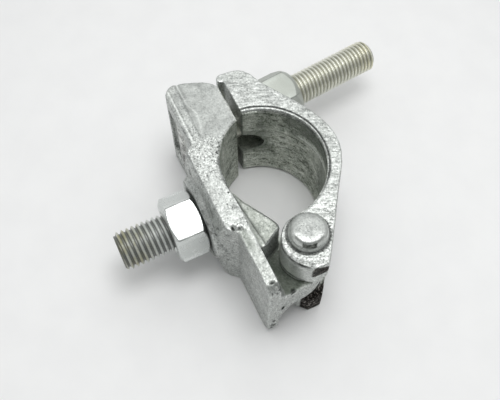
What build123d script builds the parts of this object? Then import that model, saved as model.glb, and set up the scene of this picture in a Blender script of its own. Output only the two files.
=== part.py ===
from build123d import *
import math
import os

os.makedirs("parts", exist_ok=True)

# Drop-forged scaffold half coupler for 48.3 mm tube, closed and empty.
# Frame: origin at the centre of the tube seat (the base saddle's circle), half way up the coupler.
# +Z along the tube, +X towards the hinge, -X towards the T-bolt, -Y out of the back along the stud, +Y the flap side.

# ---- driving dimensions, mm ----
TUBE_OD = 48.3          # scaffold tube that the coupler grips
SADDLE_R = 24.2         # seat radius of the base
BORE_R = 24.3           # seat radius of the flap
FLAP_SHIFT = 8.8        # the empty flap closes this much past the tube position
HALF_W = 22.5           # half of the 45 mm coupler width along the tube
BLOCK_Z = 22.3          # half height of the smooth prong and horn blocks
WEB_Z = 6.4             # half thickness of the hinge web and lug
PLATE_BACK = -29.2      # back face of the plate
PLATE_IN = -24.3        # inner face of the plate, tangent to the seat
RIB_BACK = -34.8        # back face of the central rib
BOSS_FACE = -36.8       # face that the stud nut bears on
BOSS_R = 16.8           # boss radius at that face
PIN_X, PIN_Y = 33.4, -6.5   # hinge rivet axis
PIN_R = 6.0             # rivet shank radius
LUG_CLEAR = 0.06        # radial running clearance of the lug on the rivet
EAR_GAP_Z = 7.0         # half gap between the flap's ears
HEAD_R, HEAD_TOP_R, HEAD_H = 8.0, 5.9, 4.6   # formed rivet head
TB_X, TB_Y = -33.9, -23.5   # T-bolt pivot axis
TB_LEAN = 6.4           # lean of the T-bolt away from +Y, degrees
TB_R = 7.0              # M14 thread major radius
TB_LEN = 89.6           # pivot to tip
THEAD_R, THEAD_Z = 7.0, 14.8   # T-head radius and half length
TB_SWING = 52.0         # outward swing of the T-bolt, degrees
SLOT_Z = 7.7            # half height of the slots that pass the T-bolt
SEAT_D = 30.6           # pivot to the flap's bearing seat, along the T-bolt
WASHER_GAP = 0.35       # bearing gap that lets the nut swing off the tines
WASHER_R, WASHER_T = 13.6, 2.5
NUT14_AF, NUT14_H = 22.0, 15.5
NUT14_ROT = 50.0        # corner angle of the T-bolt nut about its axis, degrees
STUD_X = 0.4
STUD_R = 8.0            # M16 thread major radius
STUD_NECK_R = 7.8       # shank from the head through the nut
STUD_TIP = -70.8
STUD_HEAD_R, STUD_HEAD_T = 12.0, 6.0
NUT16_AF, NUT16_H = 24.0, 13.2
NUT16_ROT = 43.3        # corner angle of the stud nut about its axis, degrees


def face_of(segments):
    edges = []
    for s in segments:
        edges.append(Line(*s) if len(s) == 2 else Spline(*s))
    return make_face(edges)


def prism(points, z0, z1):
    return Pos(0, 0, z0) * extrude(make_face(Polyline(*points, close=True)), amount=z1 - z0)


def prism_of(segments, z0, z1):
    return Pos(0, 0, z0) * extrude(face_of(segments), amount=z1 - z0)


def rod_z(x, y, r, z0, z1):
    return Pos(x, y, (z0 + z1) / 2) * Cylinder(r, z1 - z0)


def rod_y(x, z, r, y0, y1):
    return Pos(x, (y0 + y1) / 2, z) * Rot(90, 0, 0) * Cylinder(r, abs(y1 - y0))


def box(x0, x1, y0, y1, z0, z1):
    return Pos((x0 + x1) / 2, (y0 + y1) / 2, (z0 + z1) / 2) * Box(x1 - x0, y1 - y0, z1 - z0)


def soften(solid, edges, radius):
    """Fillet the given edges, stepping down to a smaller radius where the large one does not fit."""
    for r in (radius, radius * 0.7, radius * 0.45):
        try:
            out = fillet(edges, r)
            if out.is_valid and abs(out.volume) > 0.5 * abs(solid.volume):
                return out
        except Exception:
            pass
    return solid


def tb_dir(deg):
    a = math.radians(90 + deg)
    return math.cos(a), math.sin(a)


# ---- base forging ----
# Prong block at the T-bolt end: curved outer end, flat face beside the flap, arc of the seat.
prong = prism_of([
    [(-43.5, -30.6), (-47.3, -29.3), (-49.4, -25.8), (-48.6, -21.8), (-46.9, -17.0), (-44.9, -12.8), (-42.6, -10.2),
     (-38.5, -9.1)],
    [(-38.5, -9.1), (-12.0, -9.0)],
    [(-12.0, -9.0), (0.0, -22.0)],
    [(0.0, -22.0), (0.0, -30.0)],
    [(0.0, -30.0), (-43.5, -30.6)],
], -BLOCK_Z, BLOCK_Z)
prong = soften(prong, prong.edges().filter_by(lambda e: e.center().X < -38 and abs(abs(e.center().Z) - BLOCK_Z) < 0.01), 1.5)

# Horn block at the hinge end of the seat.
horn = prism_of([
    [(6.0, -23.2), (10.0, -21.8), (14.0, -19.8), (18.0, -17.5), (21.5, -15.6), (24.6, -14.3), (26.4, -14.5),
     (27.2, -15.7)],
    [(27.2, -15.7), (30.8, -22.0)],
    [(30.8, -22.0), (31.0, -27.0)],
    [(31.0, -27.0), (6.0, -27.0)],
    [(6.0, -27.0), (6.0, -23.2)],
], -BLOCK_Z + 0.2, BLOCK_Z - 0.2)

# Plate: full width strip behind the seat.
plate = box(-47.5, 48.3, PLATE_BACK, PLATE_IN, -HALF_W, HALF_W)
plate = fillet(plate.edges().filter_by(Axis.Y), 4.0)

# Central rib on the back, stepped down to the plate at each side.
rib = extrude(Plane.YZ * make_face(Polyline((-26.0, HALF_W), (-32.6, HALF_W), (-33.4, 21.6), (RIB_BACK, 15.5),
                                            (RIB_BACK, -15.5), (-33.4, -21.6), (-32.6, -HALF_W), (-26.0, -HALF_W),
                                            close=True)), amount=60, both=True)
rib_plan = prism([(-21.5, -24.4), (-20.5, -29.0), (-18.0, -32.8), (-15.0, RIB_BACK - 1), (15.5, RIB_BACK - 1),
                  (19.0, -32.8), (22.5, -29.0), (23.5, -24.4)], -HALF_W, HALF_W)
rib = rib & rib_plan

# Boss under the stud nut, flared into the rib.
boss = Pos(STUD_X, (BOSS_FACE - 28.0) / 2, 0) * Rot(90, 0, 0) * Cone(21.5, BOSS_R, -28.0 - BOSS_FACE)

# Mid-height web and hinge lug, filleted into the plate.
rf = 9.0


def web_profile():
    up = [(PLATE_IN - 2.0, HALF_W - 1.0), (PLATE_IN, HALF_W - 1.0), (PLATE_IN, WEB_Z + rf)]
    arc = [(PLATE_IN + rf - rf * math.cos(math.radians(a)), WEB_Z + rf - rf * math.sin(math.radians(a)))
           for a in range(10, 91, 10)]
    top = up + arc + [(10.0, WEB_Z)]
    return top + [(y, -z) for y, z in reversed(top)]


web = extrude(Plane.YZ * make_face(Polyline(*web_profile(), close=True)), amount=60)
web_plan = prism_of([
    [(8.0, -27.0), (47.9, -27.0)],
    [(47.9, -27.0), (48.0, -24.5), (46.9, -20.0), (46.2, -15.0), (46.1, -10.5), (44.3, -5.2), (40.2, -0.6),
     (35.0, 2.2), (29.0, 1.9), (24.6, -1.5), (22.6, -7.5), (23.6, -14.5)],
    [(23.6, -14.5), (8.0, -22.9)],
    [(8.0, -22.9), (8.0, -27.0)],
], -HALF_W, HALF_W)
web = web & web_plan

base = prong + horn + plate + rib + boss + web
base = base - rod_z(0, 0, SADDLE_R, -30, 30)

# T-head pocket, open to the back, and the slot that lets the bolt swing outwards.
base = base - rod_z(TB_X, TB_Y, THEAD_R + 0.08, -THEAD_Z - 0.6, THEAD_Z + 0.6)
base = base - box(TB_X - THEAD_R - 0.08, TB_X + THEAD_R + 0.08, -40, TB_Y, -THEAD_Z - 0.6, THEAD_Z + 0.6)
base = base - box(TB_X - 10.4, TB_X + THEAD_R + 0.08, -40, -28.4, -THEAD_Z - 0.6, THEAD_Z + 0.6)
sw = SLOT_Z
u0, u1, um = tb_dir(TB_LEAN), tb_dir(TB_LEAN + TB_SWING + 1.5), tb_dir(TB_LEAN + TB_SWING / 2)
right = (TB_X + sw * u0[1], TB_Y - sw * u0[0])
left = (TB_X - sw * u1[1], TB_Y + sw * u1[0])
slot = prism([right, (right[0] + 60 * u0[0], right[1] + 60 * u0[1]), (TB_X + 90 * um[0], TB_Y + 90 * um[1]),
              (left[0] + 60 * u1[0], left[1] + 60 * u1[1]), left, (TB_X, TB_Y - 1)], -SLOT_Z, SLOT_Z)
base = base - slot - rod_z(TB_X, TB_Y, sw, -SLOT_Z, SLOT_Z)

# Stud hole with a counterbore for its head, sunk below the seat.
base = base - rod_y(STUD_X, 0, STUD_R, -40, -20)
base = base - rod_y(STUD_X, 0, STUD_HEAD_R, PLATE_IN - STUD_HEAD_T - 0.2, -18)
# Rivet hole through the lug, running clearance.
base = base - rod_z(PIN_X, PIN_Y, PIN_R + LUG_CLEAR, -30, 30)

# ---- flap forging ----
CY = -FLAP_SHIFT
outer = [
    [(-24.0, -6.2), (-41.6, -6.2)],
    [(-41.6, -6.2), (-44.2, -8.6), (-45.6, -7.4), (-45.9, -4.5), (-45.4, -0.6), (-44.2, 2.4), (-41.5, 4.9),
     (-36.5, 7.0), (-31.0, 10.0), (-25.5, 13.4), (-20.0, 16.6), (-14.0, 19.6), (-7.0, 22.1), (0.0, 22.9),
     (6.0, 22.0), (13.0, 18.7), (20.0, 13.7), (30.0, 7.0), (40.0, 0.2)],
    [(40.0, 0.2), (46.9, -4.6)],
    [(46.9, -4.6), (46.9, -10.6)],
    [(46.9, -10.6), (43.2, -14.6), (39.2, -17.0), (35.0, -17.8), (30.8, -16.4), (27.4, -14.0), (25.2, -10.6),
     (24.0, -5.0)],
    [(24.0, -5.0), (0.0, CY)],
    [(0.0, CY), (-24.0, -6.2)],
]
cap = prism_of(outer, -HALF_W, HALF_W)
bulge_face = face_of([
    [(-40.0, 4.6), (-36.5, 7.0), (-31.0, 10.0), (-25.3, 14.2), (-19.6, 17.6), (-13.6, 20.6), (-6.8, 23.1),
     (0.2, 23.9), (6.6, 22.9), (13.6, 19.5), (20.7, 14.5), (30.6, 7.8), (40.2, 1.0), (44.5, -2.9)],
    [(44.5, -2.9), (33.4, -12.0)],
    [(33.4, -12.0), (0.0, CY)],
    [(0.0, CY), (-40.0, 4.6)],
])
bulge = extrude(bulge_face, amount=20.5, taper=2.8)
cap = cap + bulge + mirror(bulge, about=Plane.XY)
cap = soften(cap, cap.edges().filter_by(
    lambda e: abs(abs(e.center().Z) - HALF_W) < 0.01 and e.center().Y > -4 and e.length > 20), 2.2)
cap = cap - rod_z(0, CY, BORE_R, -30, 30)
# Lip of the bore, opening towards the T-bolt end.
lip = Pos(-1.0, CY + 0.4, HALF_W) * Cone(BORE_R - 0.4, BORE_R + 1.6, 2.0)
cap = cap - lip - mirror(lip, about=Plane.XY)
# Gap between the ears for the lug.
cap = cap - rod_z(PIN_X, PIN_Y, 13.9, -EAR_GAP_Z, EAR_GAP_Z)
cap = cap - box(24.0, 60.0, -40.0, PIN_Y, -EAR_GAP_Z, EAR_GAP_Z)
# Forging relief under each ear's outer edge.
ear_cut = extrude(Plane.XZ * make_face(Polyline((40.0, EAR_GAP_Z - 1), (60.0, EAR_GAP_Z - 1), (60.0, 14.5), (49.0, 11.2),
                                                (44.0, 8.2), close=True)), amount=60, both=True)
cap = cap - ear_cut - mirror(ear_cut, about=Plane.XY)
cap = cap - rod_z(PIN_X, PIN_Y, PIN_R, -30, 30)
# Slot between the tines for the T-bolt, round at its inner end.
cap = cap - box(-60.0, -29.9, -12.0, 40.0, -8.0, 8.0) - rod_y(-29.9, 0, 8.0, -12.0, 40.0)
# Bearing seat for the washer, square to the T-bolt, eased at the tine tips.
tb_frame = Pos(TB_X, TB_Y, 0) * Rot(0, 0, TB_LEAN)
seat = tb_frame * prism([(-3.5, SEAT_D), (14.4, SEAT_D), (14.4, SEAT_D + 30), (-30, SEAT_D + 30), (-30, SEAT_D - 9.5)],
                        -14.8, 14.8)
cap = cap - seat

# ---- hinge rivet: plain shank, a formed head at each end ----
head = Pos(0, 0, HEAD_H / 2) * Cone(HEAD_R - 0.9, HEAD_TOP_R, HEAD_H)
head = head + Pos(0, 0, 0.55) * Cylinder(HEAD_R, 1.1)
rivet = Cylinder(PIN_R, 2 * HALF_W) + Pos(0, 0, HALF_W) * head
rivet = Pos(PIN_X, PIN_Y, 0) * rivet

# ---- T-bolt ----
tb_len = TB_LEN
tbolt = Cylinder(THEAD_R, 2 * THEAD_Z)
tbolt = tbolt + Pos(0, tb_len / 2, 0) * Rot(90, 0, 0) * Cylinder(TB_R, tb_len)
tip = tbolt.edges().filter_by(GeomType.CIRCLE).sort_by(Axis.Y)[-1]
tbolt = chamfer(tip, 1.8)
tbolt = tb_frame * tbolt

# ---- washer and nut on the T-bolt ----
w0 = SEAT_D + WASHER_GAP
washer = Pos(0, w0 + WASHER_T / 2, 0) * Rot(90, 0, 0) * (Cylinder(WASHER_R, WASHER_T) - Cylinder(TB_R + 0.4, 10))
washer = tb_frame * washer


def hex_nut(af, h, hole_r, rot, seat_face, out_face, flip):
    """Hexagon nut about Z. Each end is chamfered by a cone given as (radius at the face, slope)."""
    body = extrude(RegularPolygon(af / math.sqrt(3), 6, rotation=rot), amount=h / 2, both=True)
    lo, hi = (seat_face, out_face) if flip else (out_face, seat_face)
    up = Cone(hi[0] + hi[1] * h, hi[0], h)
    dn = Cone(lo[0], lo[0] + lo[1] * h, h)
    return (body & up & dn) - Cylinder(hole_r, h * 2)


n0 = w0 + WASHER_T
nut14 = tb_frame * Pos(0, n0 + NUT14_H / 2, 0) * Rot(90, 0, 0) * hex_nut(NUT14_AF, NUT14_H, TB_R + 0.05, NUT14_ROT,
                                                                            (10.6, 1.5), (9.7, 0.81), False)

# ---- stud: sunk head, plain shank, exposed end ----
stud = rod_y(STUD_X, 0, STUD_NECK_R, PLATE_IN - 0.2 - STUD_HEAD_T / 2, BOSS_FACE - NUT16_H - 0.5)
stud = stud + rod_y(STUD_X, 0, STUD_R, BOSS_FACE - NUT16_H - 0.4, STUD_TIP)
stud = stud + rod_y(STUD_X, 0, STUD_HEAD_R, PLATE_IN - 0.2 - STUD_HEAD_T, PLATE_IN - 0.2)
end = stud.edges().filter_by(GeomType.CIRCLE).sort_by(Axis.Y)[0]
stud = chamfer(end, 1.5)
nut16 = Pos(STUD_X, BOSS_FACE - NUT16_H / 2 - 0.02, 0) * Rot(90, 0, 0) * hex_nut(
    NUT16_AF, NUT16_H, STUD_R + 0.05, NUT16_ROT, (11.6, 1.5), (11.4, 1.5), True)

PARTS = {
    "base": base,
    "flap": cap,
    "hinge_rivet": rivet,
    "t_bolt": tbolt,
    "t_bolt_washer": washer,
    "t_bolt_nut": nut14,
    "stud": stud,
    "stud_nut": nut16,
}
for name, shape in PARTS.items():
    export_step(shape, f"parts/{name}.step")
    print(name, round(shape.volume / 1000, 2), "cm3", len(shape.solids()), "solids")
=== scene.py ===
import bpy
import bmesh
import math
import numpy as np
from mathutils import Matrix, Vector


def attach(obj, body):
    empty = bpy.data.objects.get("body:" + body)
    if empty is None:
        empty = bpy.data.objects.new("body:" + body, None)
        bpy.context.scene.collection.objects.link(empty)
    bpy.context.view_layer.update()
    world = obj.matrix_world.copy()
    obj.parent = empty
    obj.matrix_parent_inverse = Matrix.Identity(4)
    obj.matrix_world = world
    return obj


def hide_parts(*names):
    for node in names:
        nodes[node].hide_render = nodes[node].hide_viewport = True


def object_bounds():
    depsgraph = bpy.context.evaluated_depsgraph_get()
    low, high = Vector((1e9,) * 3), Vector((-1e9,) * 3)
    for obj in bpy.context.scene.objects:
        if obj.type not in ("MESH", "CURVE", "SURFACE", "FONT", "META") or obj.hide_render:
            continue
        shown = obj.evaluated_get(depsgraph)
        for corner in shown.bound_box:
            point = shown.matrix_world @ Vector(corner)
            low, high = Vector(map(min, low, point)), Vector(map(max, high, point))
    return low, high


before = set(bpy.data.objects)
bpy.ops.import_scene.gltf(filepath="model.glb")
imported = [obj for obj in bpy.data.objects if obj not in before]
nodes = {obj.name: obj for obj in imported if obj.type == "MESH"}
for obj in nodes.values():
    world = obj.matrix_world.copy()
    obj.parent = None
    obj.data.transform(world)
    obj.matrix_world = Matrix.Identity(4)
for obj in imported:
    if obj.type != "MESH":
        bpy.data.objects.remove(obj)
cad_box = [[float(c) for c in corner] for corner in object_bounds()]
scene = bpy.context.scene
MM = 0.001

# ---------------------------------------------------------------- key places, in millimetres, in the row frame
BORE_R = 24.2                        # base saddle, about the origin
FLAP_CY = -8.8                       # the flap's bore centre lies at (0, FLAP_CY)
FLAP_R = 24.3
HINGE = np.array([33.4, -6.5])       # rivet axis
PIVOT = np.array([-33.9, -23.5])     # T-bolt pivot
LEAN = math.radians(6.4)             # the T-bolt leans out by this much
STUD_X = 0.4

# ---------------------------------------------------------------- smooth 3-D noise, seeded
_rng = np.random.RandomState(20)
_PERM = np.tile(_rng.permutation(256), 3)
_GRAD = _rng.normal(size=(256, 3))
_GRAD /= np.linalg.norm(_GRAD, axis=1)[:, None]


def perlin(p):
    i = np.floor(p).astype(np.int64)
    f = p - i
    i &= 255
    u = f * f * f * (f * (f * 6 - 15) + 10)
    out = np.zeros(len(p))
    for dx in (0, 1):
        for dy in (0, 1):
            for dz in (0, 1):
                h = _PERM[_PERM[_PERM[(i[:, 0] + dx) & 255] + ((i[:, 1] + dy) & 255)] + ((i[:, 2] + dz) & 255)]
                d = (_GRAD[h] * (f - np.array([dx, dy, dz]))).sum(1)
                w = ((u[:, 0] if dx else 1 - u[:, 0]) * (u[:, 1] if dy else 1 - u[:, 1])
                     * (u[:, 2] if dz else 1 - u[:, 2]))
                out += w * d
    return out * 1.6


def fbm(p, size, octaves=3, gain=0.55, seed=0.0):
    """Noise in about -1..1; size is its largest feature in mm."""
    v, a, s, total = np.zeros(len(p)), 1.0, 1.0 / size, 0.0
    for k in range(octaves):
        v += a * perlin(p * s + seed + 17.3 * k)
        total += a
        a *= gain
        s *= 2.03
    return v / total


def smoothstep(a, b, x):
    t = np.clip((x - a) / (b - a), 0, 1)
    return t * t * (3 - 2 * t)


# ---------------------------------------------------------------- mesh helpers
def get_co(me):
    co = np.zeros(len(me.vertices) * 3)
    me.vertices.foreach_get("co", co)
    return co.reshape(-1, 3) * 1000.0


def set_co(me, co):
    me.vertices.foreach_set("co", (co / 1000.0).astype(np.float32).ravel())
    me.update()


def get_no(me):
    no = np.zeros(len(me.vertices) * 3)
    me.vertices.foreach_get("normal", no)
    return no.reshape(-1, 3)


def get_edges(me):
    e = np.zeros(len(me.edges) * 2, np.int32)
    me.edges.foreach_get("vertices", e)
    return e.reshape(-1, 2)


def mean_of_neighbours(val, e, deg):
    n = len(deg)
    if val.ndim == 1:
        a = np.bincount(e[:, 0], val[e[:, 1]], n) + np.bincount(e[:, 1], val[e[:, 0]], n)
        return a / deg
    return np.stack([mean_of_neighbours(val[:, k], e, deg) for k in range(val.shape[1])], 1)


def blur(val, e, deg, times):
    for _ in range(times):
        val = 0.5 * val + 0.5 * mean_of_neighbours(val, e, deg)
    return val


def put_attr(me, name, val):
    at = me.attributes.get(name) or me.attributes.new(name, "FLOAT", "POINT")
    at.data.foreach_set("value", val.astype(np.float32))


def link(name, me, smooth=True):
    me.name = name
    ob = bpy.data.objects.new(name, me)
    scene.collection.objects.link(ob)
    if smooth:
        me.polygons.foreach_set("use_smooth", [True] * len(me.polygons))
    me.update()
    return ob


def remeshed(node, name, voxel):
    """A dense, even copy of a CAD node's surface."""
    me = nodes[node].data.copy()
    bm = bmesh.new()
    bm.from_mesh(me)
    bmesh.ops.remove_doubles(bm, verts=bm.verts, dist=2e-7)
    bm.to_mesh(me)
    bm.free()
    me.materials.clear()
    tmp = bpy.data.objects.new("tmp", me)
    scene.collection.objects.link(tmp)
    mod = tmp.modifiers.new("even", "REMESH")
    mod.mode = "VOXEL"
    mod.voxel_size = voxel * MM
    mod.adaptivity = 0.0
    dg = bpy.context.evaluated_depsgraph_get()
    out = bpy.data.meshes.new_from_object(tmp.evaluated_get(dg))
    bpy.data.objects.remove(tmp)
    bpy.data.meshes.remove(me)
    return link(name, out)


def forged(node, name, voxel, shape, marks, rounds=5):
    """Copy of a CAD node with the soft edges, dents and scale of a drop forging.
    shape(co, no) gives the inward depth in mm at each vertex, marks(co, no) the masks for the material."""
    ob = remeshed(node, name, voxel)
    me = ob.data
    e = get_edges(me)
    deg = np.bincount(e.ravel(), minlength=len(me.vertices)).astype(float)
    co = get_co(me)
    for _ in range(rounds):                    # rounds the edges off and takes out the voxel steps
        co += 0.5 * (mean_of_neighbours(co, e, deg) - co)
    set_co(me, co)
    no = get_no(me)
    flat_no = no.copy()
    for _ in range(6):
        no = 0.5 * no + 0.5 * mean_of_neighbours(no, e, deg)
    no /= np.maximum(np.linalg.norm(no, axis=1), 1e-9)[:, None]
    co = co - flat_no * shape(co, no)[:, None]
    set_co(me, co)
    # how far each vertex stands proud of its surroundings: the material paints proud edges as worn zinc with a painted
    # highlight, and paints shade into the corners
    lap = co.copy()
    for _ in range(14):
        lap = 0.5 * lap + 0.5 * mean_of_neighbours(lap, e, deg)
    proud = ((co - lap) * no).sum(1)
    proud = blur(proud, e, deg, 2)
    put_attr(me, "edge", np.clip(proud / 0.35, -1, 1))
    for key, val in marks(co, no).items():
        put_attr(me, key, val)
    return ob


def grid_mesh(name, rings, closed_profile=False, caps=(False, False)):
    """rings: array (rows, around, 3) in mm. Makes quads between rows, wrapped around."""
    rows, n, _ = rings.shape
    verts = [tuple(v) for v in (rings.reshape(-1, 3) * MM)]
    faces = []
    last = rows if closed_profile else rows - 1
    for j in range(last):
        a0, b0 = j * n, ((j + 1) % rows) * n
        for i in range(n):
            k = (i + 1) % n
            faces.append((a0 + i, a0 + k, b0 + k, b0 + i))
    if caps[0]:
        c = len(verts)
        verts.append(tuple(rings[0].mean(0) * MM))
        faces += [(c, (i + 1) % n, i) for i in range(n)]
    if caps[1]:
        c = len(verts)
        verts.append(tuple(rings[-1].mean(0) * MM))
        faces += [(c, (rows - 1) * n + i, (rows - 1) * n + (i + 1) % n) for i in range(n)]
    me = bpy.data.meshes.new(name)
    me.from_pydata(verts, [], faces)
    me.validate()
    bm = bmesh.new()
    bm.from_mesh(me)
    bmesh.ops.remove_doubles(bm, verts=bm.verts, dist=1e-7)
    bmesh.ops.dissolve_degenerate(bm, edges=bm.edges, dist=1e-7)
    bmesh.ops.recalc_face_normals(bm, faces=bm.faces)
    bm.to_mesh(me)
    bm.free()
    return me


def ease(prof, cut):
    """Rounds the corners of profiles, shape (points, around, 2), by up to cut mm."""
    out = [prof[0]]
    for k in range(1, len(prof) - 1):
        v, a, b = prof[k], prof[k - 1], prof[k + 1]
        da, db = np.linalg.norm(a - v, axis=-1), np.linalg.norm(b - v, axis=-1)
        ta = np.minimum(0.45, cut / np.maximum(da, 1e-6))[..., None]
        tb = np.minimum(0.45, cut / np.maximum(db, 1e-6))[..., None]
        pa, pb = v + (a - v) * ta, v + (b - v) * tb
        for t in (0.0, 0.25, 0.5, 0.75, 1.0):
            out.append((1 - t) ** 2 * pa + 2 * t * (1 - t) * v + t * t * pb)
    out.append(prof[-1])
    return np.array(out)


def ring_points(rz, theta, origin, ax, ex, ey):
    """(rows, around, 2) of radius and height -> points about an axis through origin."""
    r, z = rz[..., 0], rz[..., 1]
    c, s = np.cos(theta), np.sin(theta)
    return (np.array(origin) + (r * c)[..., None] * np.array(ex) + (r * s)[..., None] * np.array(ey)
            + z[..., None] * np.array(ax))


def lathe(name, prof, origin, ax, ex, ey, n=128, cut=0.2, closed=False, caps=(False, False), wobble=0.0):
    theta = np.arange(n) * 2 * math.pi / n
    rz = np.repeat(np.array(prof, float)[:, None, :], n, axis=1)
    if cut:
        if closed:
            rz = ease(np.concatenate([rz[-1:], rz, rz[:1]]), cut)[1:-1]
        else:
            rz = ease(rz, cut)
    pts = ring_points(rz, theta, origin, ax, ex, ey)
    if wobble:
        flat = pts.reshape(-1, 3)
        ctr = flat.mean(0)
        d = flat - ctr
        d /= np.maximum(np.linalg.norm(d, axis=1), 1e-6)[:, None]
        flat = flat - d * (wobble * (0.5 + 0.5 * fbm(flat, 4.5, 2, seed=5.1)))[:, None]
        pts = flat.reshape(pts.shape)
    me = grid_mesh(name, pts, closed, caps)
    return link(name, me)


def hex_nut(name, af, h, hole, corner_deg, seat, top, origin, ax, ex, ey, n=216):
    """Hexagon nut from height 0 (seat) to h. seat and top are (flat face radius, slope of the chamfer cone)."""
    theta = np.arange(n) * 2 * math.pi / n
    a, p = af / 2.0, 90.0
    normals = np.radians(corner_deg + 30 + 60 * np.arange(6))
    tot = np.zeros(n)
    for t in normals:
        tot += np.maximum(np.cos(theta - t), 1e-3) ** p
    R = a / tot ** (1 / p)
    one = np.ones(n)
    r0, s0 = seat
    r1, s1 = top
    flat0, flat1 = np.minimum(r0, R - 0.08), np.minimum(r1, R - 0.08)
    z0 = np.maximum(0.0, (R - r0) / s0) + 0.04
    z1 = h - np.maximum(0.0, (R - r1) / s1) - 0.04
    prof = np.array([
        np.stack([one * hole, one * (h * 0.5)], -1),
        np.stack([one * hole, one * 0.9], -1),
        np.stack([one * (hole + 0.9), one * 0.0], -1),
        np.stack([flat0, one * 0.0], -1),
        np.stack([R, z0], -1),
        np.stack([R, z0 * 0.5 + z1 * 0.5], -1),
        np.stack([R, z1], -1),
        np.stack([flat1, one * h], -1),
        np.stack([one * (hole + 0.9), one * h], -1),
        np.stack([one * hole, one * (h - 0.9)], -1),
        np.stack([one * hole, one * (h * 0.5)], -1),
    ])
    prof = ease(prof, 0.22)[:-1]
    pts = ring_points(prof, theta, origin, ax, ex, ey)
    me = grid_mesh(name, pts, closed_profile=True)
    ob = link(name, me)
    co = get_co(ob.data)
    rel = co - np.array(origin)
    z = rel @ np.array(ax)
    rad = np.linalg.norm(rel - np.outer(z, ax), axis=1)
    put_attr(ob.data, "edge", smoothstep(a * 1.03, a * 1.14, rad) * 2 - 1)
    put_attr(ob.data, "face", smoothstep(a * 0.93, a * 1.0, rad))
    ang = np.degrees(np.arctan2(rel @ np.array(ey), rel @ np.array(ex)))
    off = np.abs((ang - corner_deg + 30.0) % 60.0 - 30.0)
    # line: painted dark line along each hex corner, standing in for the reflection seen there
    put_attr(ob.data, "line", smoothstep(1.5, 0.2, off) * (rad > a * 1.02))
    return ob


def thread_rod(name, r, pitch, z_start, z_thread, z_end, tip_cut, origin, ax, ex, ey, neck, n=96, cap0=True, step=0.085, seed=0.0, seam=0.0):
    """A rod with a real helical thread from z_thread to z_end, a plain shank of radius neck below it and a chamfered tip."""
    theta = np.arange(n) * 2 * math.pi / n
    depth = 0.60 * pitch
    zs = np.concatenate([np.arange(z_start, z_thread - 0.5, 0.6), np.arange(z_thread - 0.5, z_end - 0.02, step), [z_end - 0.02]])
    Z = np.repeat(zs[:, None], n, 1)
    T = np.repeat(theta[None, :], len(zs), 0)
    frac = (Z / pitch - T / (2 * math.pi)) % 1.0
    tri = np.abs(frac - 0.5) * 2                       # 0 at the root, 1 at the crest
    form = np.clip((tri - 0.22) / 0.62, 0, 1)
    form = form * form * (3 - 2 * form) * 0.35 + form * 0.65
    run = smoothstep(z_thread, z_thread + 1.2 * pitch, Z)
    wear = 0.10 * np.maximum(0, fbm(np.stack([T.ravel() * 2.2, Z.ravel() * 0.5, T.ravel() * 0 + seed], 1), 1.0, 2).reshape(Z.shape))
    R = (r - wear) - depth * (1 - form) * run - seam * smoothstep(0.90, 0.985, tri) * run
    R = np.where(Z < z_thread, neck + (r - neck) * smoothstep(z_thread - 0.5, z_thread, Z), R)
    tip = (r - tip_cut) + (z_end - Z) * 1.0
    R = np.minimum(R, np.maximum(tip, 0.2))
    rz = np.stack([R, Z], -1)
    # closing rows of the end face
    rin = rz[-1].copy()
    extra = []
    for k in (0.97, 0.9, 0.6, 0.3):
        row = rin.copy()
        row[:, 0] = (r - tip_cut) * k
        row[:, 1] = z_end if k < 0.95 else z_end - 0.005
        extra.append(row)
    rz = np.concatenate([rz, np.array(extra)])
    pts = ring_points(rz, theta, origin, ax, ex, ey)
    me = grid_mesh(name, pts, caps=(cap0, True))
    ob = link(name, me)
    co = get_co(ob.data)
    rel = co - np.array(origin)
    z = rel @ np.array(ax)
    rad = np.linalg.norm(rel - np.outer(z, ax), axis=1)
    crest = smoothstep(r - depth * 0.75, r - 0.05 - seam * 0.5, rad)
    put_attr(ob.data, "edge", crest * 2 - 1)
    put_attr(ob.data, "tip", smoothstep(z_end - 16, z_end - 2, z))
    return ob


def shade_by_angle(ob, deg):
    me = ob.data
    bm = bmesh.new()
    bm.from_mesh(me)
    lim = math.radians(deg)
    for ed in bm.edges:
        if len(ed.link_faces) == 2 and ed.calc_face_angle(0) > lim:
            ed.smooth = False
    for f in bm.faces:
        f.smooth = True
    bm.to_mesh(me)
    bm.free()


# ---------------------------------------------------------------- materials
def new_mat(name):
    m = bpy.data.materials.new(name)
    m.use_nodes = True
    nt = m.node_tree
    for n in list(nt.nodes):
        nt.nodes.remove(n)
    out = nt.nodes.new("ShaderNodeOutputMaterial")
    b = nt.nodes.new("ShaderNodeBsdfPrincipled")
    nt.links.new(b.outputs[0], out.inputs[0])
    return m, nt, b


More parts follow.
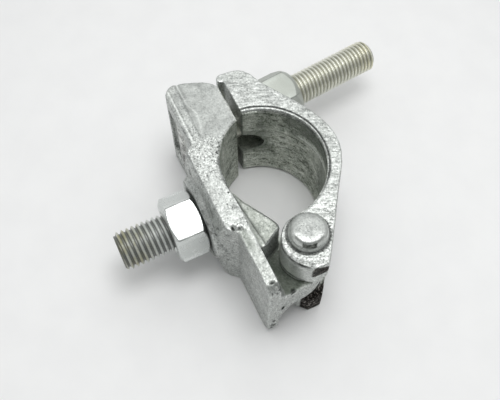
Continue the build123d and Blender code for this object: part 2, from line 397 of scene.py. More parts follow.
class N:
    """Small helper for building node trees."""

    def __init__(self, nt):
        self.nt = nt
        tc = nt.nodes.new("ShaderNodeTexCoord")
        self.obj = tc.outputs["Object"]

    def link(self, a, b):
        if hasattr(a, "is_output"):
            self.nt.links.new(a, b)
        else:
            b.default_value = a

    def noise(self, scale, detail=3, rough=0.55, vec=None, dist=0.0):
        n = self.nt.nodes.new("ShaderNodeTexNoise")
        self.nt.links.new(vec or self.obj, n.inputs["Vector"])
        n.inputs["Scale"].default_value = scale
        n.inputs["Detail"].default_value = detail
        n.inputs["Roughness"].default_value = rough
        n.inputs["Distortion"].default_value = dist
        return n.outputs["Fac"]

    def voronoi(self, scale, feature="F1", vec=None):
        n = self.nt.nodes.new("ShaderNodeTexVoronoi")
        n.feature = feature
        self.nt.links.new(vec or self.obj, n.inputs["Vector"])
        n.inputs["Scale"].default_value = scale
        return n.outputs["Distance"]

    def stretch(self, sx, sy, sz, rot=(0, 0, 0)):
        n = self.nt.nodes.new("ShaderNodeMapping")
        self.nt.links.new(self.obj, n.inputs["Vector"])
        n.inputs["Scale"].default_value = (sx, sy, sz)
        n.inputs["Rotation"].default_value = rot
        return n.outputs[0]

    def ramp(self, fac, stops, interp="LINEAR"):
        n = self.nt.nodes.new("ShaderNodeValToRGB")
        n.color_ramp.interpolation = interp
        el = n.color_ramp.elements
        while len(el) < len(stops):
            el.new(0.5)
        for k, (pos, col) in enumerate(stops):
            el[k].position = pos
            el[k].color = (*col, 1) if len(col) == 3 else col
        self.nt.links.new(fac, n.inputs[0])
        return n.outputs[0]

    def rng(self, v, a, b, c, d):
        n = self.nt.nodes.new("ShaderNodeMapRange")
        n.clamp = True
        self.link(v, n.inputs[0])
        for k, x in enumerate((a, b, c, d)):
            n.inputs[k + 1].default_value = x
        return n.outputs[0]

    def math(self, op, a, b=0.0, clamp=False):
        n = self.nt.nodes.new("ShaderNodeMath")
        n.operation = op
        n.use_clamp = clamp
        self.link(a, n.inputs[0])
        self.link(b, n.inputs[1])
        return n.outputs[0]

    def mix(self, fac, a, b, mode="MIX"):
        n = self.nt.nodes.new("ShaderNodeMix")
        n.data_type = "RGBA"
        n.blend_type = mode
        self.link(fac, n.inputs[0])
        self.link(a, n.inputs[6])
        self.link(b, n.inputs[7])
        return n.outputs[2]

    def attr(self, name):
        n = self.nt.nodes.new("ShaderNodeAttribute")
        n.attribute_name = name
        return n.outputs["Fac"]

    def bump(self, height, dist, strength=1.0, normal=None):
        n = self.nt.nodes.new("ShaderNodeBump")
        n.inputs["Distance"].default_value = dist
        n.inputs["Strength"].default_value = strength
        self.nt.links.new(height, n.inputs["Height"])
        if normal is not None:
            self.nt.links.new(normal, n.inputs["Normal"])
        return n.outputs[0]


def galvanised(name, tint=(0.965, 1.0, 0.965), gain=1.0, strokes=0.0, streak=1.0):
    """Hot-dip zinc on a rough forging: grainy and speckled, calm on the struck faces, worn bright on proud edges with a
    painted highlight, dark in the bore and recesses with dirt and painted shade, and painted light on lit bands.
    """
    m, nt, b = new_mat(name)
    g = N(nt)
    edge, grime_and_shade, bore, raw, smooth = g.attr("edge"), g.attr("grime_and_shade"), g.attr("bore"), g.attr("raw"), g.attr("smooth")
    blotch = g.noise(140, 4, 0.6, dist=0.5)
    patch = g.noise(430, 3, 0.6)
    speck = g.noise(1450, 3, 0.62)
    fine = g.noise(2800, 2, 0.6)
    bend = nt.nodes.new("ShaderNodeTexNoise")
    nt.links.new(g.obj, bend.inputs["Vector"])
    bend.inputs["Scale"].default_value = 900
    shift = nt.nodes.new("ShaderNodeVectorMath")
    shift.operation = "MULTIPLY_ADD"
    nt.links.new(bend.outputs["Color"], shift.inputs[0])
    shift.inputs[1].default_value = (0.0007, 0.0007, 0.0007)
    nt.links.new(g.obj, shift.inputs[2])
    bead = g.rng(g.voronoi(1500, vec=shift.outputs[0]), 0.10, 0.72, 1.0, 0.0)

    def grey(*stops):
        return [(p, tuple(min(1.0, v * gain * c) for c in tint)) for p, v in stops]

    t = g.math("ADD", g.math("MULTIPLY", speck, 0.53), g.math("ADD", g.math("MULTIPLY", patch, 0.14), g.math("MULTIPLY", fine, 0.23)))
    t = g.math("ADD", t, g.math("MULTIPLY", bead, 0.12))
    skin = g.ramp(t, grey((0.385, 0.18), (0.435, 0.37), (0.490, 0.49), (0.550, 0.56), (0.61, 0.76)))
    t2 = g.math("ADD", g.math("MULTIPLY", blotch, 0.5), g.math("ADD", g.math("MULTIPLY", patch, 0.3), g.math("MULTIPLY", speck, 0.2)))
    calm = g.ramp(t2, grey((0.40, 0.39), (0.50, 0.445), (0.60, 0.50)))
    pits = g.rng(speck, 0.33, 0.40, 1.0, 0.0)
    calm = g.mix(g.math("MULTIPLY", pits, 0.35), calm, (0.16, 0.17, 0.16, 1))
    base = g.mix(smooth, skin, calm)
    shade = g.rng(blotch, 0.35, 0.65, 0.90, 1.07)
    cr = nt.nodes.new("ShaderNodeCombineXYZ")
    for k in range(3):
        nt.links.new(shade, cr.inputs[k])
    base = g.mix(1.0, base, cr.outputs[0], "MULTIPLY")
    h = g.math("ADD", g.math("MULTIPLY", speck, 0.60), g.math("MULTIPLY", fine, 0.22))
    h = g.math("ADD", h, g.math("ADD", g.math("MULTIPLY", patch, 0.30), g.math("MULTIPLY", bead, 0.04)))
    if strokes:
        # file and grinding strokes across the trimmed faces, all in one direction
        r1 = nt.nodes.new("ShaderNodeMapping")
        nt.links.new(g.obj, r1.inputs["Vector"])
        r1.inputs["Rotation"].default_value = (0, 0, math.radians(-67))
        r2 = nt.nodes.new("ShaderNodeMapping")
        nt.links.new(r1.outputs[0], r2.inputs["Vector"])
        r2.inputs["Scale"].default_value = (210, 1150, 500)
        line = g.noise(1.0, 3, 0.6, vec=r2.outputs[0], dist=0.6)
        brush = g.math("MULTIPLY", g.attr("brush"), strokes)
        cut = g.math("MULTIPLY", g.rng(line, 0.36, 0.48, 1.0, 0.0), brush)
        base = g.mix(g.math("MULTIPLY", cut, 0.60), base, (0.20, 0.21, 0.20, 1))
        lift = g.math("MULTIPLY", g.rng(line, 0.54, 0.66, 0.0, 1.0), brush)
        base = g.mix(g.math("MULTIPLY", lift, 0.5), base, (0.86, 0.88, 0.86, 1))
        h = g.math("ADD", h, g.math("MULTIPLY", g.math("MULTIPLY", line, brush), 0.8))
    # the bore and the shaded recesses: dull and dark, streaked round the tube, with lighter rubbed patches; the
    # darkness is partly raw, dirty zinc and partly painted shade and reflection
    arc = g.noise(1.0, 4, 0.62, vec=g.stretch(130, 130, 900), dist=0.4)
    arc = g.math("ADD", g.math("MULTIPLY", arc, streak), 0.5 * (1.0 - streak))
    tb = g.math("ADD", g.math("MULTIPLY", arc, 0.42), g.math("ADD", g.math("MULTIPLY", patch, 0.26), g.math("MULTIPLY", speck, 0.32)))
    rub = g.noise(95, 2, 0.5, dist=0.8)
    tb = g.math("ADD", tb, g.math("MULTIPLY", g.math("SUBTRACT", rub, 0.5), 0.28))
    well = g.ramp(tb, [(0.385, (0.050, 0.060, 0.046)), (0.45, (0.23, 0.255, 0.21)), (0.505, (0.44, 0.47, 0.41)), (0.56, (0.62, 0.65, 0.59)), (0.63, (0.90, 0.92, 0.86))])
    # deep paints still darker shade into the web valley, the slots and the mouth, and darkens a sweep of the flap's
    # bore, the horn and the shoulder
    deep = g.attr("deep")
    well = g.mix(g.math("MULTIPLY", deep, 0.80), well, (0.115, 0.135, 0.11, 1))
    base = g.mix(bore, base, well)
    # painted shade: corners and roots darkened
    low = g.rng(edge, -0.8, -0.12, 1.0, 0.0)
    base = g.mix(g.math("MULTIPLY", low, 0.55), base, (0.10, 0.11, 0.10, 1))
    # near-black marks: dirt, die marks and torn flash, together with painted shade lines, rings and spots
    base = g.mix(grime_and_shade, base, (0.020, 0.024, 0.020, 1))
    # painted light: lit bands, highlights on ridges and rims, and some bright worn flakes
    lite = g.math("MULTIPLY", g.attr("lite"), g.rng(speck, 0.34, 0.54, 0.55, 1.0))
    base = g.mix(lite, base, (0.87, 0.895, 0.865, 1))
    # rubbed rims: worn zinc with a painted highlight
    high = g.math("MULTIPLY", g.rng(edge, 0.10, 0.55, 0.0, 1.0), g.rng(speck, 0.40, 0.55, 0.35, 1.0))
    base = g.mix(g.math("MULTIPLY", high, 0.30), base, (0.82, 0.845, 0.82, 1))
    # torn iron where the flash was sheared off
    rust = g.math("ADD", g.math("MULTIPLY", patch, 0.25), g.math("ADD", g.math("MULTIPLY", speck, 0.50), g.math("MULTIPLY", fine, 0.25)))
    raw_col = g.ramp(rust, [(0.44, (0.009, 0.008, 0.007)), (0.51, (0.026, 0.023, 0.020)), (0.545, (0.075, 0.065, 0.056)), (0.58, (0.26, 0.24, 0.22)), (0.62, (0.75, 0.74, 0.71))])
    base = g.mix(raw, base, raw_col)
    nt.links.new(base, b.inputs["Base Color"])
    dull = g.math("MAXIMUM", raw, grime_and_shade)
    met = g.math("SUBTRACT", 0.92, g.math("MULTIPLY", dull, 0.10), clamp=True)
    met = g.math("SUBTRACT", met, g.math("MULTIPLY", bore, 0.45), clamp=True)
    nt.links.new(met, b.inputs["Metallic"])
    rough = g.rng(t, 0.40, 0.60, 0.60, 0.34)
    rough = g.math("SUBTRACT", rough, g.math("MULTIPLY", high, 0.10), clamp=True)
    rough = g.math("ADD", rough, g.math("MULTIPLY", bore, 0.05), clamp=True)
    rough = g.math("ADD", rough, g.math("MULTIPLY", dull, 0.45), clamp=True)
    nt.links.new(rough, b.inputs["Roughness"])
    soft = g.math("SUBTRACT", 1.0, g.math("MULTIPLY", smooth, 0.6), clamp=True)
    nt.links.new(g.bump(g.math("MULTIPLY", h, soft), 0.00034, 0.9), b.inputs["Normal"])
    return m


def plated(name, light=(0.78, 0.80, 0.79), mid=(0.60, 0.62, 0.61), low=(0.10, 0.11, 0.105), tint=None, rough=(0.30, 0.44), bump=0.00005, head=None, metal=0.95, root_top=0.15):
    """Zinc-plated turned steel: smooth, with faint mottling, painted shade in the thread roots and painted dark lines
    along the hex corners.
    """
    m, nt, b = new_mat(name)
    g = N(nt)
    edge = g.attr("edge")
    blotch = g.noise(240, 3, 0.55, dist=0.3)
    speck = g.noise(1700, 3, 0.6)
    tone = g.math("ADD", g.math("MULTIPLY", blotch, 0.5), g.math("MULTIPLY", speck, 0.5))
    base = g.ramp(tone, [(0.30, mid), (0.52, light), (0.75, tuple(min(1.0, c * 1.08) for c in light))])
    if tint is not None:
        tip = g.attr("tip")
        t = g.math("MULTIPLY", tip, g.rng(blotch, 0.40, 0.62, 0.15, 1.0))
        base = g.mix(t, base, (*tint, 1))
    # painted shade in the thread roots
    root = g.rng(edge, -1.0, root_top, 1.0, 0.0)
    base = g.mix(g.math("MULTIPLY", root, 0.80), base, (*low, 1))
    # painted dark line along the hex corners, standing in for the reflection there
    base = g.mix(g.math("MULTIPLY", g.attr("line"), g.rng(speck, 0.40, 0.60, 0.35, 0.85)), base, (0.12, 0.13, 0.12, 1))
    if head is not None:
        scale = g.ramp(tone, [(0.42, tuple(0.25 * c for c in head)), (0.52, head), (0.62, tuple(min(1.0, 1.5 * c) for c in head))])
        base = g.mix(g.attr("head"), base, scale)
    nt.links.new(base, b.inputs["Base Color"])
    b.inputs["Metallic"].default_value = metal
    nt.links.new(g.rng(tone, 0.3, 0.7, rough[1], rough[0]), b.inputs["Roughness"])
    n1 = g.bump(g.math("ADD", g.math("MULTIPLY", speck, 0.6), g.math("MULTIPLY", blotch, 0.8)), bump, 0.8)
    nt.links.new(n1, b.inputs["Normal"])
    return m


MAT_BASE = galvanised("zinc_forging_base", gain=1.03, streak=0.35)
MAT_FLAP = galvanised("zinc_forging_flap", gain=1.08, strokes=0.9, streak=0.75)
MAT_RIVET = galvanised("zinc_rivet", gain=0.84)
# low is the painted shade colour for the thread roots
MAT_STUD = plated("plated_stud", light=(0.74, 0.755, 0.735), mid=(0.58, 0.595, 0.575), low=(0.085, 0.09, 0.085), tint=(0.50, 0.48, 0.32), rough=(0.34, 0.48), metal=0.62, root_top=-0.30)
MAT_BOLT = plated("plated_bolt", light=(0.84, 0.84, 0.76), mid=(0.70, 0.70, 0.61), low=(0.42, 0.42, 0.36), tint=(0.84, 0.82, 0.66), head=(0.54, 0.55, 0.525), metal=0.86, root_top=0.0)
MAT_NUT = plated("plated_nut", light=(0.72, 0.745, 0.73), mid=(0.52, 0.545, 0.53), low=(0.60, 0.625, 0.61), rough=(0.22, 0.36), bump=0.00010)
MAT_CLAMP_NUT = plated("plated_clamp_nut", light=(0.45, 0.475, 0.44), mid=(0.38, 0.40, 0.365), low=(0.40, 0.42, 0.385), rough=(0.40, 0.52), bump=0.00010, metal=0.62)
MAT_WASHER = plated("plated_washer", light=(0.66, 0.675, 0.665), mid=(0.53, 0.545, 0.535), low=(0.45, 0.46, 0.45), rough=(0.32, 0.46))


# ---------------------------------------------------------------- base forging
def spot(co, p, r, sharp=0.35):
    """Mask of a small mark: 1 inside the ellipsoid of half-sizes r about p."""
    d = np.linalg.norm((co - np.array(p)) / np.array(r), axis=1)
    return smoothstep(1.0 + sharp, 1.0 - sharp, d)


def base_shape(co, no):
    x, y, z = co.T
    az = np.abs(z)
    d = 0.06 + 0.14 * np.maximum(0, fbm(co, 7.0, 2, seed=1.0)) + 0.09 * fbm(co, 1.9, 2, seed=9.0)
    # soft valley between the plate's edge and the prong block
    yl = -24.0 - 0.03 * (x + 47)
    d += 0.42 * np.exp(-((y - yl) / 0.8) ** 2) * smoothstep(19.5, 21.5, az) * smoothstep(-19.0, -23.0, x)
    # dents in the rib's shoulder and at the plate's end
    d += 0.75 * spot(co, (19.9, -29.9, 22.3), (1.3, 0.9, 1.6)) + 0.45 * spot(co, (20.8, -27.9, 22.3), (0.8, 1.2, 1.2))
    d += 0.4 * spot(co, (44.7, -26.5, 22.3), (0.7, 1.0, 1.0)) + 0.35 * spot(co, (46.1, -25.4, 22.0), (0.6, 0.8, 1.0))
    d += 0.35 * spot(co, (48.3, -26.6, -11.5), (1.0, 1.0, 1.6)) + 0.3 * spot(co, (48.3, -27.6, -15.5), (1.0, 0.8, 1.5))
    # the horn lies a little below the plate's edge; the plate's far corner is rounded over
    seam = y + 24.45 - 0.095 * (x - 5.7)
    d += 0.75 * smoothstep(-0.25, 0.35, seam) * smoothstep(20.6, 21.6, az) * smoothstep(1.0, 4.0, x) * smoothstep(36, 34, x)
    d += 1.3 * smoothstep(44.5, 48.3, x) * smoothstep(18.0, 22.5, az) * smoothstep(-23.0, -26.0, y)
    hole = np.hypot(x - HINGE[0], y - HINGE[1]) < 7.0
    return np.where(hole, 0.0, np.maximum(0.0, d))


def base_marks(co, no):
    x, y, z = co.T
    r = np.hypot(x, y)
    inner = smoothstep(BORE_R + 1.2, BORE_R + 0.2, r) * smoothstep(0.3, 0.7, -(no[:, 0] * x + no[:, 1] * y) / np.maximum(r, 1e-6))
    pocket = smoothstep(9.5, 7.6, np.hypot(x - PIVOT[0], y - PIVOT[1])) * (np.abs(z) < 15.2)
    up = smoothstep(0.6, 0.9, np.abs(no[:, 2]))
    prong = up * smoothstep(-18.0, -21.0, x - 0.5 * (y + 20)) * smoothstep(-25.6, -24.4, y)
    horn = up * smoothstep(4.0, 8.0, x) * smoothstep(-24.5, -23.4, y)
    # painted shade between the prongs, facing the T-bolt, and on the web with its valley under the ears
    slot = (np.abs(z) < 7.9) * smoothstep(-24.0, -27.0, x) * smoothstep(0.5, 0.8, np.abs(no[:, 2]))
    webtop = smoothstep(0.5, 0.85, np.abs(no[:, 2])) * (np.abs(z) < 9) * smoothstep(26.0, 30.0, x) * smoothstep(-26.0, -24.0, y)
    edge_band = smoothstep(44.2, 45.4, x + 0.45 * (y + 14))
    face = smoothstep(-0.2, 0.4, no[:, 1]) * smoothstep(-10.5, -9.0, y) * smoothstep(-15, -20, x)
    strip_low = up * smoothstep(-6.0, 0.0, x) * smoothstep(22.0, 16.0, x) * smoothstep(-24.4, -25.0, y)
    strip_far = up * smoothstep(20.0, 23.0, x) * smoothstep(-23.2, -24.0, y)
    shoulder = up * smoothstep(20.8, 22.2, x) * smoothstep(33.0, 28.0, x) * smoothstep(-25.7, -26.5, y + 0.10 * (25 - x))
    # bore mask: the bore, dark partly as painted shade and reflection; painted shade on the slot, the web and the faces
    # beside the flap; the horn, strip end and shoulder darker
    bore = np.clip(0.95 * inner + 0.62 * horn + 0.20 * strip_far + 0.4 * shoulder + 0.9 * slot + 0.85 * webtop * (1 - edge_band) + 0.55 * face, 0, 1)
    # dark spots over the dents and nicks: dirt with painted shade
    grime_and_shade = np.zeros(len(co))
    for p, q, k in (((19.7, -30.2, 22.2), (1.0, 0.6, 1.5), 0.9), ((20.7, -28.2, 22.3), (0.5, 0.9, 1.0), 0.7),
                    ((5.7, -25.5, 22.2), (0.35, 0.35, 0.8), 0.95), ((-16.1, -19.9, 22.2), (0.7, 0.35, 0.8), 0.8),
                    ((44.7, -26.5, 22.2), (0.5, 0.9, 0.9), 0.8), ((46.1, -25.4, 22.0), (0.5, 0.6, 0.9), 0.9),
                    ((48.2, -26.5, -11.2), (0.8, 0.7, 1.1), 0.75), ((48.2, -27.4, -14.8), (0.8, 0.5, 1.5), 0.7),
                    ((46.4, -18.1, 6.6), (1.6, 1.4, 0.75), 1.0), ((47.4, -22.8, -1.5), (1.6, 0.75, 1.7), 1.0),
                    ((47.8, -24.3, 20.2), (1.4, 0.7, 1.2), 0.95), ((48.0, -26.6, -15.5), (1.2, 1.2, 1.2), 0.7), ((48.0, -27.6, -18.5), (1.3, 1.0, 1.2), 0.75), ((47.6, -25.8, -19.5), (1.3, 0.8, 1.2), 0.6),
                    ((8.6, -24.6, 22.3), (0.3, 0.3, 0.6), 0.5), ((-11.8, -22.2, 22.3), (0.7, 0.5, 0.8), 0.7), ((-7.2, -24.0, 22.3), (0.5, 0.5, 0.8), 0.6),
                    ((9.9, -28.0, 22.4), (0.3, 0.3, 0.5), 0.6), ((11.8, -26.9, 22.4), (0.3, 0.25, 0.5), 0.6)):
        grime_and_shade = np.maximum(grime_and_shade, k * spot(co, p, q))
    # painted shade lines: round the saddle's rim, and where the horn drops below the plate's edge
    ragged = 0.55 + 0.45 * smoothstep(-0.35, 0.25, fbm(co, 3.0, 2, seed=44.0))
    topz = smoothstep(21.2, 21.9, np.abs(z))
    rim = np.exp(-((r - 24.75 - 0.3 * fbm(co, 4.0, 2, seed=41.0)) / 0.48) ** 2) * topz * smoothstep(-8.0, -11.0, y)
    drop = np.exp(-((y + 24.35 - 0.095 * (x - 5.7)) / 0.42) ** 2) * topz * smoothstep(0.0, 3.0, x) * smoothstep(27.5, 25.5, x)
    grime_and_shade = np.maximum(grime_and_shade, np.maximum(0.80 * rim * ragged, 0.85 * drop * (0.5 + 0.5 * ragged)))
    # painted highlights along the prong's back edge ridges, painted shade in the groove between them, and the calm
    # strip beside them
    top = smoothstep(0.6, 0.9, no[:, 2]) * smoothstep(21.0, 21.8, z)
    ridge1 = np.exp(-((y + 28.75 + 0.35 * fbm(co, 9.0, 2, seed=51.0)) / 0.30) ** 2) * smoothstep(-19.0, -22.0, x)
    ridge2 = np.exp(-((y + 24.1 - 1.6 * np.exp(-((x + 31) / 6.0) ** 2) + 0.5 * fbm(co, 7.0, 2, seed=52.0)) / 0.38) ** 2) * smoothstep(-17.0, -20.0, x)
    lite = top * (0.75 * ridge1 + 0.42 * ridge2)
    flat_strip = top * smoothstep(-24.0, -28.0, x) * smoothstep(-24.0, -25.0, y)
    groove = np.exp(-((y + 28.0 + 0.3 * fbm(co, 6.0, 2, seed=53.0)) / 0.28) ** 2) * top * smoothstep(-19.0, -22.0, x)
    grime_and_shade = np.maximum(grime_and_shade, 0.28 * groove)
    # bright flakes on the plate's lower back edge
    flakes = smoothstep(0.15, 0.45, fbm(co, 2.6, 3, seed=61.0)) * smoothstep(-18.0, -20.5, z) * smoothstep(-27.5, -28.8, y) * smoothstep(16, 20, x)
    # painted light inside the T-head pocket
    lite = np.clip(lite + 0.6 * flakes + 0.62 * pocket, 0, 1)
    # torn iron at the foot of the web, under the lower ear, painted dark also as the shadow there
    raw = smoothstep(43.6, 44.4, x) * smoothstep(-13.8, -13.2, y) * smoothstep(0.4, -0.4, z + 6.0 - 0.62 * (y + 13.2)) * (np.abs(z) < 9.5) * (y < -4)
    # painted shade at the foot of the boss, beside the nut
    rb = np.hypot(x - STUD_X, z)
    grime_and_shade = np.maximum(grime_and_shade, 0.60 * smoothstep(-33.0, -35.5, y) * smoothstep(14.5, 13.0, rb))
    # painted shade on the rear faces turned from the light, broken into blue-grey patches
    rear = smoothstep(0.25, 0.75, -no[:, 1]) * smoothstep(-26.0, -28.0, y)
    blue = fbm(co, 3.2, 3, seed=31.0)
    grime_and_shade = np.maximum(grime_and_shade, 0.58 * rear * smoothstep(0.10, 0.42, blue) * smoothstep(20.5, 17.0, np.abs(z)) * smoothstep(24, 16, np.abs(x)))
    return {
        "bore": bore,
        "grime_and_shade": np.clip(grime_and_shade, 0, 1),
        "smooth": np.clip(0.9 * prong + 1.0 * horn + 0.35 * rear + 0.55 * flat_strip + 0.6 * strip_low + 0.8 * strip_far, 0, 1),
        "raw": raw,
        "lite": lite,
        # deep: painted deeper shade on the web and in the slot; the horn, strip end and shoulder darker still
        "deep": np.clip(0.75 * webtop * (1 - edge_band) + 0.6 * slot + 0.55 * horn + 0.6 * strip_far + 0.85 * shoulder, 0, 1),
    }


base = forged("base", "base_forging", 0.38, base_shape, base_marks)
base.data.materials.append(MAT_BASE)
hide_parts("base")
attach(base, "base_body")


# ---------------------------------------------------------------- flap forging
def lip_ring(co):
    """Distance in mm from the outer rim of the bore's chamfered lip, whose centre sits off to the T-bolt side."""
    x, y, z = co.T
    return np.hypot(x + 1.0, y - (FLAP_CY + 0.4)) - (FLAP_R + 1.45)


def flap_shape(co, no):
    x, y, z = co.T
    az = np.abs(z)
    d = 0.06 + 0.14 * np.maximum(0, fbm(co, 7.0, 2, seed=4.0)) + 0.09 * fbm(co, 1.9, 2, seed=7.0)
    ring = lip_ring(co)
    d += 0.30 * np.exp(-(ring / 0.42) ** 2) * smoothstep(20.8, 21.8, az) * smoothstep(24, 12, x)
    # the bore set back, with its raised tongue
    r = np.hypot(x, y - FLAP_CY)
    hole = np.hypot(x - HINGE[0], y - HINGE[1]) < 7.0
    ridge = np.exp(-((z - 12.6 - 0.15 * (x + 2)) / 0.75) ** 2) * smoothstep(-13.5, -9.5, x) * smoothstep(8.0, 4.0, x) * (r < FLAP_R + 1.0) * (y > 5)
    d += np.where(r < FLAP_R + 1.0, 0.28, 0.0) - 0.26 * ridge
    # bevel along the outer edge of each ear
    re = np.hypot(x - HINGE[0], y - HINGE[1])
    d += 0.9 * smoothstep(9.6, 12.2, re) * smoothstep(19.2, 22.0, az) * smoothstep(-6.5, -9.5, y + 0.22 * (x - 33)) * (x > 20)
    return np.where(hole, 0.0, np.maximum(0.0, d))


def flap_marks(co, no):
    x, y, z = co.T
    az = np.abs(z)
    r = np.hypot(x, y - FLAP_CY)
    # bore mask: the bore, dark partly as painted shade and reflection, and painted shade in the slot, the gap between
    # the ears and the mouth
    inner = smoothstep(FLAP_R + 1.5, FLAP_R + 0.3, r) * smoothstep(0.2, 0.6, -(no[:, 0] * x + no[:, 1] * (y - FLAP_CY)) / np.maximum(r, 1e-6))
    slot = (az < 8.3) * smoothstep(-19.0, -22.5, x) * smoothstep(0.4, 0.75, np.maximum(np.abs(no[:, 2]), np.abs(no[:, 0]))) * (y < 14)
    gap = smoothstep(0.4, 0.8, np.abs(no[:, 2])) * (az < 9.0) * smoothstep(22, 26, x)
    tongue = np.exp(-((z - 12.7 - 0.15 * (x + 2)) / 0.75) ** 2) * smoothstep(-13.5, -9.5, x) * smoothstep(8.0, 4.0, x) * (r < FLAP_R + 1.0) * (y > 5)
    mouth = smoothstep(0.3, 0.7, -no[:, 1]) * smoothstep(-19, -23, x) * np.maximum(smoothstep(-38, -28, x), smoothstep(17, 13, az))
    lo = 14.9 + 0.0 * y
    hi = 22.9 - 0.574 * (y + 10.7)
    endf = smoothstep(46.1, 46.6, x) * smoothstep(0.3, 0.6, no[:, 0])
    raw = endf * smoothstep(lo - 0.3, lo + 0.3, z) * smoothstep(hi + 0.3, hi - 0.3, z)
    low = smoothstep(43.2, 44.0, x + 0.25 * (y + 9)) * smoothstep(-7.4, -8.2, z) * smoothstep(-21.8, -21.0, z) * smoothstep(0.05, 0.35, np.maximum(no[:, 0], no[:, 2]))
    shear = raw
    raw = np.clip(0.78 * raw + low, 0, 1)
    ring = lip_ring(co)
    # painted shade line in the groove round the lip
    lip_groove_shade = np.exp(-((ring - 0.05) / 0.40) ** 2) * smoothstep(20.6, 21.4, az) * smoothstep(24, 14, x) * smoothstep(-0.55, 0.0, fbm(co, 5.0, 2, seed=12.0) + 0.35)
    re = np.hypot(x - HINGE[0], y - HINGE[1])
    # painted shade ring round the rivet head
    seat = 0.65 * smoothstep(0.75, 0.35, np.abs(re - 8.0)) * smoothstep(21.3, 21.9, az)
    marks = np.zeros(len(co))
    # die marks on the bore wall: short generic scratches
    th = np.degrees(np.arctan2(y - FLAP_CY, x))
    for t0, z0, dt, dz in ((134, 5.2, 2.8, 0.45), (120, 8.4, 2.0, 0.5), (126, -2.0, 3.2, 0.45), (113, 2.4, 1.5, 0.5), (125, 12.4, 0.9, 0.8),
                           (136, 13.6, 3.6, 0.5), (142, 16.2, 2.6, 0.5), (143, -1.6, 1.2, 0.7), (152, -14.5, 1.5, 0.8), (146, -17.5, 1.0, 0.6)):
        marks = np.maximum(marks, 0.6 * smoothstep(1.3, 0.7, np.abs(th - t0) / dt) * smoothstep(1.3, 0.7, np.abs(z - z0) / dz))
    marks *= r < FLAP_R + 0.9
    # painted shade lines along the ear's top edge and along its lower edge over the gap
    foot = smoothstep(-7.5, -9.5, y) * smoothstep(22.0, 25.0, x) * smoothstep(45.6, 44.6, x) * (0.6 + 0.4 * smoothstep(-0.3, 0.2, fbm(co, 3.5, 2, seed=81.0)))
    lines = foot * np.maximum(0.90 * np.exp(-((z - 21.0) / 0.62) ** 2) * smoothstep(0.97, 0.88, no[:, 2]), 0.85 * np.exp(-((z - 9.4) / 0.60) ** 2))
    marks = np.maximum(marks, lines)
    # darker sweep of the bore above the tongue, and the shaded rim line under the lip
    wall = (r < FLAP_R + 1.0) * (y > 0)
    deep = wall * smoothstep(-14.0, -9.0, x) * smoothstep(14.2, 15.6, z - 0.15 * (x + 2)) * smoothstep(22.5, 21.5, z)
    deep = np.maximum(deep, wall * 0.75 * smoothstep(0.0, 5.0, x) * smoothstep(11.8, 10.4, z - 0.15 * (x + 2)) * smoothstep(-16.0, -4.0, z))
    deep = np.maximum(deep, 0.8 * wall * smoothstep(0.05, 0.35, fbm(co, 9.0, 2, seed=71.0)) * smoothstep(8.0, 11.0, z) * smoothstep(-8.0, -12.0, x))
    under = np.exp(-((z - 21.4) / 0.45) ** 2) * wall * smoothstep(-0.6, 0.1, fbm(co, 5.0, 2, seed=72.0) + 0.2)
    marks = np.maximum(marks, 0.75 * under)
    side = smoothstep(0.5, 0.2, np.abs(no[:, 2])) * smoothstep(24, 28, x) * smoothstep(-6, -10, y)
    return {
        "bore": np.clip(0.95 * inner + slot + 0.9 * gap + 0.7 * mouth, 0, 1),
        "grime_and_shade": np.clip(np.maximum(np.maximum(0.95 * lip_groove_shade, seat), np.maximum(marks, shear)), 0, 1),
        "smooth": np.clip(0.7 * side + 0.48 * smoothstep(0.6, 0.9, np.abs(no[:, 2])) * (0.35 + 0.65 * smoothstep(30, 24, x)), 0, 1),
        "raw": raw,
        # deep: the darker sweep of the bore, with painted shade in the mouth and the slot
        "deep": np.clip(np.maximum(deep, 0.55 * mouth * smoothstep(-37, -33, x)) + 0.7 * slot, 0, 1),
        # painted light: a highlight on the raised tongue, a lit band on the mouth's end and the lit parts of the ear's
        # side
        "lite": (1 - lines) * np.clip(0.95 * tongue + 0.5 * smoothstep(0.3, 0.7, -no[:, 1]) * smoothstep(-33, -38, x) + 0.30 * side * smoothstep(36.5, 39.5, x) * smoothstep(8, 10, z)
                        + 0.35 * side * smoothstep(36.5, 39.5, x) * smoothstep(-9.5, -11, z)
                        + 0.75 * side * smoothstep(41.5, 38.5, x) * smoothstep(9, 11, z), 0, 1),
        "brush": smoothstep(0.6, 0.9, np.abs(no[:, 2])) * (az > 19),
    }


flap = forged("flap", "flap_forging", 0.38, flap_shape, flap_marks)
flap.data.materials.append(MAT_FLAP)
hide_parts("flap")
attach(flap, "flap_body")

# ---------------------------------------------------------------- rivet: shank and formed head
EX, EY, EZ = (1, 0, 0), (0, 1, 0), (0, 0, 1)
rivet = lathe("hinge_rivet_formed",
              [(0.0001, -22.45), (5.2, -22.45), (5.93, -21.8), (5.93, 22.45), (7.6, 22.5), (7.75, 22.9), (7.5, 23.45), (7.2, 23.75), (7.15, 25.2), (7.0, 26.0), (6.6, 26.5), (5.8, 26.8), (4.4, 26.98), (2.4, 27.07), (0.0001, 27.06)],
              (HINGE[0], HINGE[1], 0), EZ, EX, EY, n=128, cut=0.4, wobble=0.0)
co = get_co(rivet.data)
head = co[:, 2] > 22.4
nz = fbm(co, 5.0, 2, seed=3.3)
co[head, :2] -= ((co[head, :2] - HINGE) / 7.5) * (0.16 * (0.5 + 0.5 * nz[head]))[:, None]
co[head, 2] -= 0.10 * (0.5 + 0.5 * fbm(co[head], 6.0, 2, seed=8.8)) * smoothstep(24, 26, co[head, 2])
set_co(rivet.data, co)
fu = (co[:, 0] - HINGE[0]) * 0.907 - (co[:, 1] - HINGE[1]) * 0.42
fv = (co[:, 0] - HINGE[0]) * 0.42 + (co[:, 1] - HINGE[1]) * 0.907
